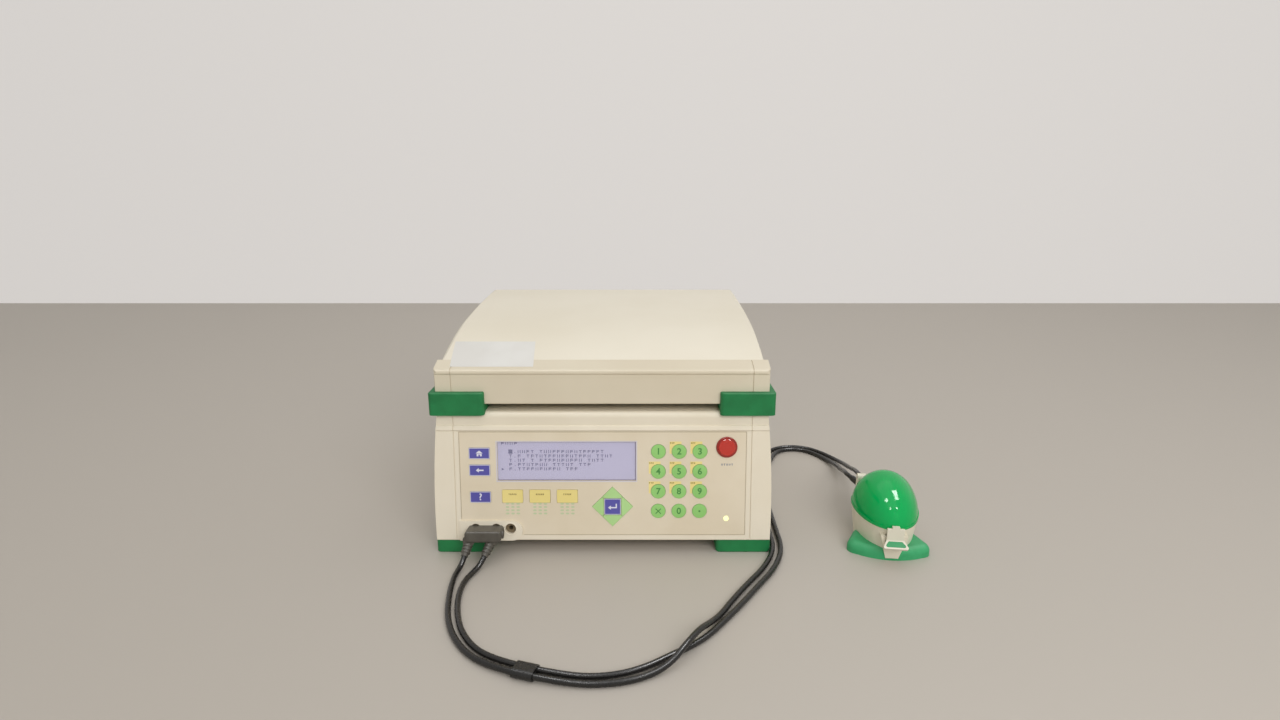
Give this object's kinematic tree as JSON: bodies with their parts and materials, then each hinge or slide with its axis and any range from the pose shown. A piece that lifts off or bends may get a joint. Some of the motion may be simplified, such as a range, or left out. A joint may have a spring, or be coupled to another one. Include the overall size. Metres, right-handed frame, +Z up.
{
  "type": "electroporator",
  "caption": "Pulse generator with keypad and display under a flatter module with an arched cover, and a cuvette chamber with a latched dome lid on two leads.",
  "frame": {"origin": "middle of the base of the generator and the chamber together, at the height of the table, leads left out", "axes": "+X to the right seen from the front, +Y to the back, +Z up; the keypad faces -Y"},
  "size_m": [0.4588, 0.4882, 0.2025],
  "materials": {
    "cream_moulding": "satin",
    "cream_cover": "satin",
    "plated_steel": "plated",
    "green_rubber": "matt",
    "beige_film": "printed film",
    "display_glass": "clear",
    "display_frame": "matt",
    "circuit_board": "lacquered",
    "red_plastic": "gloss",
    "red_plastic_ring": "satin",
    "lamp_lens": "clear",
    "black_plastic": "gloss",
    "core_steel": "varnished",
    "can_aluminium": "sleeved",
    "screw_steel": "plated",
    "cream_body": "satin",
    "green_dome": "gloss, translucent",
    "pin_steel": "ground",
    "white_latch": "satin",
    "white_holder": "matt",
    "contact_metal": "plated",
    "black_lead": "gloss",
    "key_film_green": "printed film",
    "key_film_side": "printed film",
    "key_film_yellow": "printed film",
    "key_film_arrow": "printed film",
    "key_film_blue": "printed film"
  },
  "bodies": {
    "base": {"main_bezel": "cream_moulding", "main_cover": "cream_cover", "main_tray": "plated_steel", "main_rear_panel": "plated_steel", "main_feet": "green_rubber", "keypad_overlay": "beige_film", "display_window": "display_glass", "display_module": "display_frame", "control_board": "circuit_board", "pulse_collar": "red_plastic_ring", "status_lamp": "lamp_lens", "output_jacks": "black_plastic", "power_inlet": "black_plastic", "transformer": "core_steel", "capacitor_bank": "can_aluminium", "case_screws": "screw_steel", "module_bezel": "cream_moulding", "module_cover": "cream_cover", "module_tray": "plated_steel", "stacking_boots": "green_rubber", "resistor_board": "circuit_board", "chamber_foot": "green_rubber", "chamber_body": "cream_body", "lid_hinge_pin": "pin_steel", "latch_pin": "pin_steel", "cuvette_holder": "white_holder", "chamber_contacts": "contact_metal", "lead_plug": "black_plastic", "lead_wire_a": "black_lead", "lead_wire_b": "black_lead", "lead_sleeve": "black_lead", "chamber_plugs": "black_plastic"},
    "lid": {"chamber_lid": "green_dome"},
    "latch": {"latch_lever": "white_latch", "latch_pad": "green_rubber"},
    "pulse_cap": {"pulse_button": "red_plastic"},
    "rocker": {"power_rocker": "black_plastic"},
    "key_clear_pad": {"key_clear": "key_film_green"},
    "key_0_pad": {"key_0": "key_film_green"},
    "key_point_pad": {"key_point": "key_film_green"},
    "key_7_pad": {"key_7": "key_film_green"},
    "key_8_pad": {"key_8": "key_film_green"},
    "key_9_pad": {"key_9": "key_film_green"},
    "key_4_pad": {"key_4": "key_film_green"},
    "key_5_pad": {"key_5": "key_film_green"},
    "key_6_pad": {"key_6": "key_film_green"},
    "key_1_pad": {"key_1": "key_film_green"},
    "key_2_pad": {"key_2": "key_film_green"},
    "key_3_pad": {"key_3": "key_film_green"},
    "key_home_pad": {"key_home": "key_film_side"},
    "key_back_pad": {"key_back": "key_film_side"},
    "key_help_pad": {"key_help": "key_film_side"},
    "key_soft_1_pad": {"key_soft_1": "key_film_yellow"},
    "key_soft_2_pad": {"key_soft_2": "key_film_yellow"},
    "key_soft_3_pad": {"key_soft_3": "key_film_yellow"},
    "key_enter_pad": {"key_enter": "key_film_blue"},
    "key_up_pad": {"key_up": "key_film_arrow"},
    "key_left_pad": {"key_left": "key_film_arrow"},
    "key_down_pad": {"key_down": "key_film_arrow"},
    "key_right_pad": {"key_right": "key_film_arrow"}
  },
  "joints": [
    {"name": "lid_hinge", "type": "hinge", "parent": "base", "child": "lid", "pos_m": [0.19993, -0.0724, 0.0462], "axis": [-0.993, 0.1184, 0], "range_deg": [0, 100]},
    {"name": "latch_pivot", "type": "hinge", "parent": "base", "child": "latch", "pos_m": [0.19035, -0.15273, 0.0222], "axis": [0.993, -0.1184, 0], "range_deg": [0, 12], "stiffness_Nm_per_rad": 0.02, "springref_deg": -5.73},
    {"name": "pulse_press", "type": "slide", "parent": "base", "child": "pulse_cap", "axis": [0, 0.9936, -0.1132], "range_m": [0, 0.0025], "stiffness_N_per_m": 300, "springref_m": -0.002},
    {"name": "power_rock", "type": "hinge", "parent": "base", "child": "rocker", "pos_m": [0.03076, 0.1565, 0.0775], "axis": [-1, 0, 0], "range_deg": [0, 18]},
    {"name": "key_clear_press", "type": "slide", "parent": "base", "child": "key_clear_pad", "axis": [0, 0.9936, -0.1132], "range_m": [0, 0.0005], "stiffness_N_per_m": 500, "springref_m": -0.0005},
    {"name": "key_0_press", "type": "slide", "parent": "base", "child": "key_0_pad", "axis": [0, 0.9936, -0.1132], "range_m": [0, 0.0005], "stiffness_N_per_m": 500, "springref_m": -0.0005},
    {"name": "key_point_press", "type": "slide", "parent": "base", "child": "key_point_pad", "axis": [0, 0.9936, -0.1132], "range_m": [0, 0.0005], "stiffness_N_per_m": 500, "springref_m": -0.0005},
    {"name": "key_7_press", "type": "slide", "parent": "base", "child": "key_7_pad", "axis": [0, 0.9936, -0.1132], "range_m": [0, 0.0005], "stiffness_N_per_m": 500, "springref_m": -0.0005},
    {"name": "key_8_press", "type": "slide", "parent": "base", "child": "key_8_pad", "axis": [0, 0.9936, -0.1132], "range_m": [0, 0.0005], "stiffness_N_per_m": 500, "springref_m": -0.0005},
    {"name": "key_9_press", "type": "slide", "parent": "base", "child": "key_9_pad", "axis": [0, 0.9936, -0.1132], "range_m": [0, 0.0005], "stiffness_N_per_m": 500, "springref_m": -0.0005},
    {"name": "key_4_press", "type": "slide", "parent": "base", "child": "key_4_pad", "axis": [0, 0.9936, -0.1132], "range_m": [0, 0.0005], "stiffness_N_per_m": 500, "springref_m": -0.0005},
    {"name": "key_5_press", "type": "slide", "parent": "base", "child": "key_5_pad", "axis": [0, 0.9936, -0.1132], "range_m": [0, 0.0005], "stiffness_N_per_m": 500, "springref_m": -0.0005},
    {"name": "key_6_press", "type": "slide", "parent": "base", "child": "key_6_pad", "axis": [0, 0.9936, -0.1132], "range_m": [0, 0.0005], "stiffness_N_per_m": 500, "springref_m": -0.0005},
    {"name": "key_1_press", "type": "slide", "parent": "base", "child": "key_1_pad", "axis": [0, 0.9936, -0.1132], "range_m": [0, 0.0005], "stiffness_N_per_m": 500, "springref_m": -0.0005},
    {"name": "key_2_press", "type": "slide", "parent": "base", "child": "key_2_pad", "axis": [0, 0.9936, -0.1132], "range_m": [0, 0.0005], "stiffness_N_per_m": 500, "springref_m": -0.0005},
    {"name": "key_3_press", "type": "slide", "parent": "base", "child": "key_3_pad", "axis": [0, 0.9936, -0.1132], "range_m": [0, 0.0005], "stiffness_N_per_m": 500, "springref_m": -0.0005},
    {"name": "key_home_press", "type": "slide", "parent": "base", "child": "key_home_pad", "axis": [0, 0.9936, -0.1132], "range_m": [0, 0.0005], "stiffness_N_per_m": 500, "springref_m": -0.0005},
    {"name": "key_back_press", "type": "slide", "parent": "base", "child": "key_back_pad", "axis": [0, 0.9936, -0.1132], "range_m": [0, 0.0005], "stiffness_N_per_m": 500, "springref_m": -0.0005},
    {"name": "key_help_press", "type": "slide", "parent": "base", "child": "key_help_pad", "axis": [0, 0.9936, -0.1132], "range_m": [0, 0.0005], "stiffness_N_per_m": 500, "springref_m": -0.0005},
    {"name": "key_soft_1_press", "type": "slide", "parent": "base", "child": "key_soft_1_pad", "axis": [0, 0.9936, -0.1132], "range_m": [0, 0.0005], "stiffness_N_per_m": 500, "springref_m": -0.0005},
    {"name": "key_soft_2_press", "type": "slide", "parent": "base", "child": "key_soft_2_pad", "axis": [0, 0.9936, -0.1132], "range_m": [0, 0.0005], "stiffness_N_per_m": 500, "springref_m": -0.0005},
    {"name": "key_soft_3_press", "type": "slide", "parent": "base", "child": "key_soft_3_pad", "axis": [0, 0.9936, -0.1132], "range_m": [0, 0.0005], "stiffness_N_per_m": 500, "springref_m": -0.0005},
    {"name": "key_enter_press", "type": "slide", "parent": "base", "child": "key_enter_pad", "axis": [0, 0.9936, -0.1132], "range_m": [0, 0.0005], "stiffness_N_per_m": 500, "springref_m": -0.0005},
    {"name": "key_up_press", "type": "slide", "parent": "base", "child": "key_up_pad", "axis": [0, 0.9936, -0.1132], "range_m": [0, 0.0005], "stiffness_N_per_m": 500, "springref_m": -0.0005},
    {"name": "key_left_press", "type": "slide", "parent": "base", "child": "key_left_pad", "axis": [0, 0.9936, -0.1132], "range_m": [0, 0.0005], "stiffness_N_per_m": 500, "springref_m": -0.0005},
    {"name": "key_down_press", "type": "slide", "parent": "base", "child": "key_down_pad", "axis": [0, 0.9936, -0.1132], "range_m": [0, 0.0005], "stiffness_N_per_m": 500, "springref_m": -0.0005},
    {"name": "key_right_press", "type": "slide", "parent": "base", "child": "key_right_pad", "axis": [0, 0.9936, -0.1132], "range_m": [0, 0.0005], "stiffness_N_per_m": 500, "springref_m": -0.0005}
  ]
}
